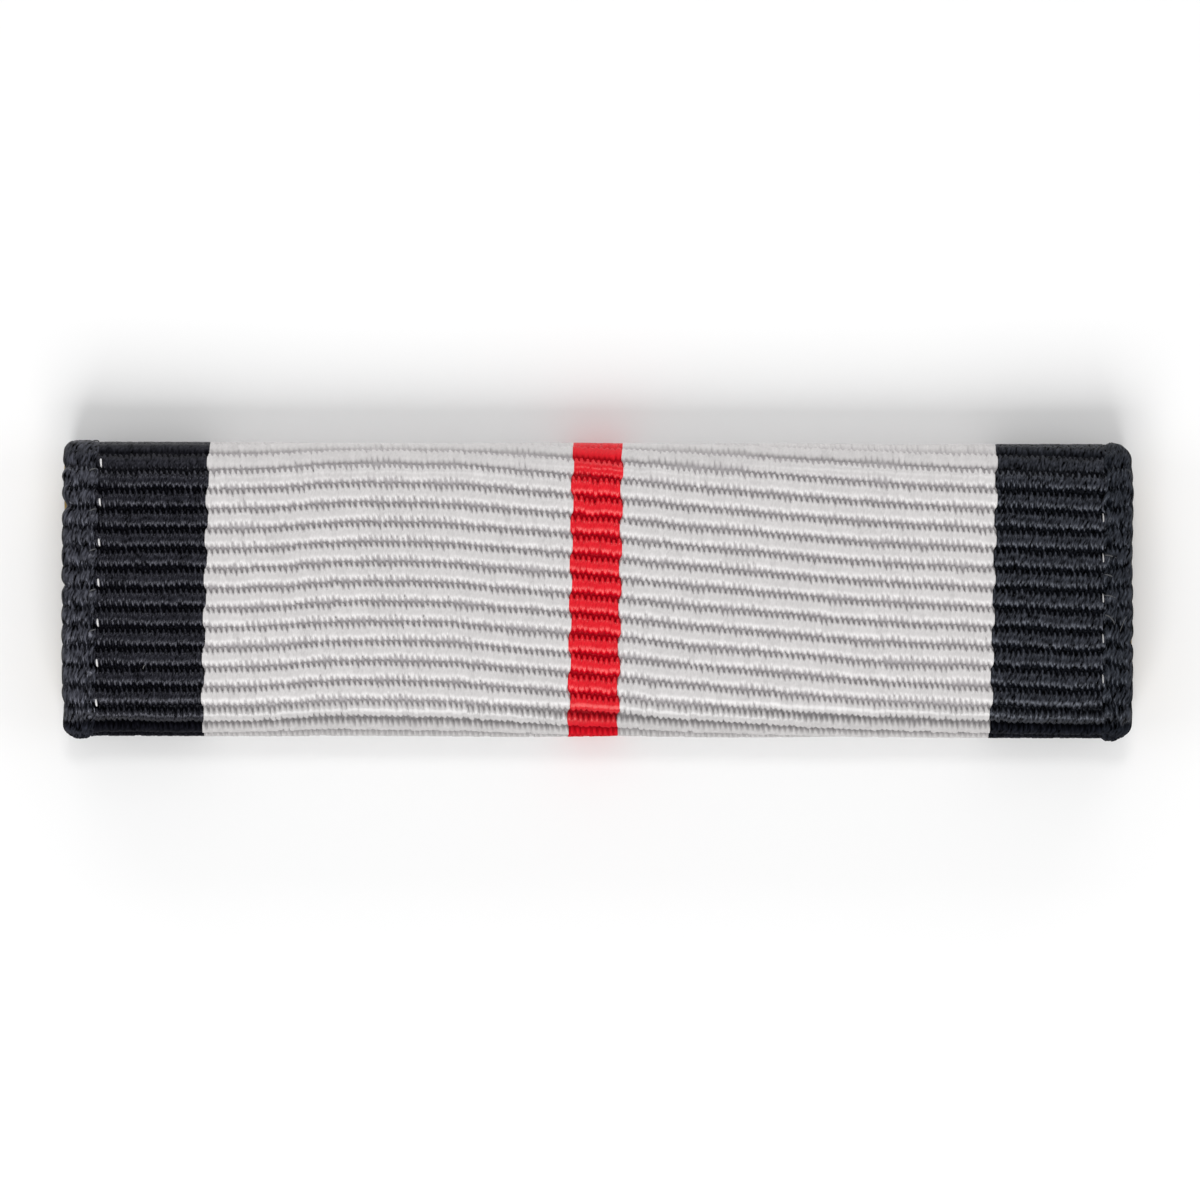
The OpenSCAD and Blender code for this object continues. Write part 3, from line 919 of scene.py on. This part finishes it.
# %% Tubes along paths
def strands(name, centre, radius, shades, material, sides=8):
    """Closed tubes through centre, an array of strand, point and xyz in mm. A ring's points are
    centre + radius * (cos a * u + sin a * v), where u lies level and v square to u and to the path."""
    count, points = centre.shape[:2]
    ahead = np.gradient(centre, axis=1)
    ahead /= np.linalg.norm(ahead, axis=-1, keepdims=True)
    u = np.cross(ahead, (0.0, 0.0, 1.0))
    u /= np.linalg.norm(u, axis=-1, keepdims=True)
    v = np.cross(u, ahead)
    angle = 2 * np.pi * np.arange(sides) / sides
    around = np.cos(angle)[:, None] * u[:, :, None] + np.sin(angle)[:, None] * v[:, :, None]
    rings = centre[:, :, None] + radius[:, :, None, None] * around
    index = np.arange(count * points * sides).reshape(count, points, sides)
    a, b = index[:, :-1], index[:, 1:]
    quads = np.stack([a, b, np.roll(b, -1, 2), np.roll(a, -1, 2)], axis=-1).reshape(-1, 4)
    caps = np.concatenate([index[:, 0], index[:, -1, ::-1]])
    loops = np.concatenate([quads.ravel(), caps.ravel()])
    starts = np.concatenate([np.arange(len(quads)) * 4, len(quads) * 4 + np.arange(len(caps)) * sides])
    along = np.linspace(0, 1, points)[None, :, None] + 0 * rings[..., 0]
    facts = {
        "shade": np.broadcast_to(np.asarray(shades, float)[:, None, None], along.shape),
        "tint": 0 * along,
        "cloth": np.stack([rings[..., 0], along, rings[..., 1]], axis=-1),
        "fold_shade": 0 * along,
        "dulled": 0 * along,
    }
    piece = fill_mesh(name, rings.reshape(-1, 3), loops, starts, facts)
    piece.data.polygons.foreach_set("use_smooth", np.ones(len(starts), bool))
    piece.data.materials.append(material)
    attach(piece, "root")
    print(name, count, "strands,", round(solid_volume(piece), 4), "mm3")
    return piece


def on_cloth(x, y, lift):
    """Points in mm on the face at x and y, lift above the crests."""
    lifted_y, z = wrap(path_at(y), CREST_R + lift)
    return np.stack([x + 0 * y, lifted_y, z], axis=-1)


catch_thread = dye("catch_thread", (0.74, 0.73, 0.73), (0.03, 0.032, 0.036), Gloss=0.4, Roughness=0.4)
print("a point on the cloth", on_cloth(0.0, np.array(0.0), 0.0).round(3), "in", catch_thread.name)

# %% Catch stitches
STITCH = 1.31  # from stitch to stitch: two ribs
left_count, right_count = 7, 5
on_left = np.arange(left_count + right_count) < left_count
left_y = 4.14 - STITCH * np.arange(left_count)
right_y = 2.37 - STITCH * np.arange(right_count)
left_x = -16.19 - 0.02 * np.arange(left_count)
stitch_x = np.concatenate([left_x, np.full(right_count, 16.46)])
stitch_y = np.concatenate([left_y, right_y])
stitch_len = np.where(on_left, 0.26, 0.34)
stitch_lean = np.where(on_left, 0.03, 0.02)
stitch_r = np.where(on_left, 0.034, 0.026)
stitch_up = np.where(on_left, 0.02, 0.008)  # how high its middle lies above the crests
stitch_shade = np.where(on_left, 0.08, 0.45)
v = np.linspace(-1, 1, 9)  # from the upper end to the lower one, and both dive into the cloth by v^4
path_x = stitch_x[:, None] + stitch_lean[:, None] / 2 * v
path_y = stitch_y[:, None] - stitch_len[:, None] / 2 * v
stitch_path = on_cloth(path_x, path_y, stitch_up[:, None] - 0.16 * v**4)
thick = stitch_r[:, None] * (1 - 0.3 * v**2)
stitches = strands("catch_stitches", stitch_path, thick, stitch_shade, catch_thread)

# %% [markdown]
# Thin ends of the same thread lie in the holes of the selvedges, half in the dark, and two fibres have come
# loose. Each is bent once, so three points and a quadratic curve between them are enough.

# %% Curls and stray fibres
CURL_R, HAIR_R = 0.023, (0.012, 0.01)
curl_y = 1.243 + STITCH * np.arange(-2, 4)
left_curls = [[(-16.33, y + 0.05), (-16.45, y + 0.03), (-16.56, y - 0.03)] for y in curl_y]
right_curls = [
    [(16.5, -0.14), (16.72, -0.12), (16.93, -0.26)],
    [(16.5, -0.77), (16.74, -0.8), (16.84, -1.08)],
    [(16.5, 0.54), (16.68, 0.54), (16.85, 0.42)],
    [(16.5, 1.17), (16.68, 1.18), (16.9, 1.08)],
]
hairs = [
    [(17.262, -0.739), (17.1, -1.0), (16.978, -1.406)],
    [(-14.79, -2.61), (-14.77, -2.54), (-14.73, -2.48)],
]
bends = np.array(left_curls + right_curls + hairs)
t = np.linspace(0, 1, 9)[None, :, None]
bent = (1 - t) ** 2 * bends[:, :1] + 2 * t * (1 - t) * bends[:, 1:2] + t**2 * bends[:, 2:]
curl_up = np.full((len(bends), 1), 0.03) - 0.05 * v**4
curl_r = np.concatenate([np.full(len(bends) - len(hairs), CURL_R), HAIR_R])
curl_thick = curl_r[:, None] * (1 - 0.4 * v**2)
curl_shade = np.concatenate([np.full(len(left_curls), 0.92), np.full(len(right_curls), 0.93), (0.9, 0.7)])
curl_path = on_cloth(bent[..., 0], bent[..., 1], curl_up)
curls = strands("stray_threads", curl_path, curl_thick, curl_shade, catch_thread)

# %% [markdown]
# ## The channel
#
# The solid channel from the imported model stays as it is. Only its edges and its back show, and they need the
# look of rolled brass that has dulled: a yellow metal, browner and rougher where it has tarnished, with fine
# scratches along the strip.

# %% Brass
brass = bpy.data.materials.new("brass")
brass.use_nodes = True
metal = brass.node_tree
metal_shader = metal.nodes["Principled BSDF"]
metal_shader.inputs["Metallic"].default_value = 1.0
spot = add(metal, "ShaderNodeTexCoord", (-1100, 0))
clouds = add(metal, "ShaderNodeTexNoise", (-900, 200), Scale=450.0, Detail=5.0, Roughness=0.6)
patches = add(metal, "ShaderNodeMapRange", (-700, 200))
patches.inputs["From Min"].default_value, patches.inputs["From Max"].default_value = 0.4, 0.7
tarnish = add(metal, "ShaderNodeMix", (-450, 250), data_type="RGBA")
tarnish.inputs["A"].default_value = (0.6, 0.4, 0.13, 1)
tarnish.inputs["B"].default_value = (0.36, 0.25, 0.1, 1)
blunt = add(metal, "ShaderNodeMapRange", (-450, 0))
blunt.inputs["To Min"].default_value, blunt.inputs["To Max"].default_value = 0.28, 0.5
drawn = add(metal, "ShaderNodeMapping", (-900, -250), Scale=(300.0, 9000.0, 9000.0))
scratches = add(metal, "ShaderNodeTexNoise", (-700, -250), Scale=1.0, Detail=2.0)
rolled = add(metal, "ShaderNodeBump", (-450, -250), Strength=0.25, Distance=0.00001)
join(
    metal,
    (spot, "Object", clouds, "Vector"),
    (clouds, "Fac", patches, "Value"),
    (patches, "Result", tarnish, "Factor"),
    (tarnish, "Result", metal_shader, "Base Color"),
    (patches, "Result", blunt, "Value"),
    (blunt, "Result", metal_shader, "Roughness"),
    (spot, "Object", drawn, "Vector"),
    (drawn, "Vector", scratches, "Vector"),
    (scratches, "Fac", rolled, "Height"),
    (rolled, "Normal", metal_shader, "Normal"),
)
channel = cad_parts["channel"]
channel.data.materials.clear()
channel.data.materials.append(brass)
print("channel in", channel.data.materials[0].name)
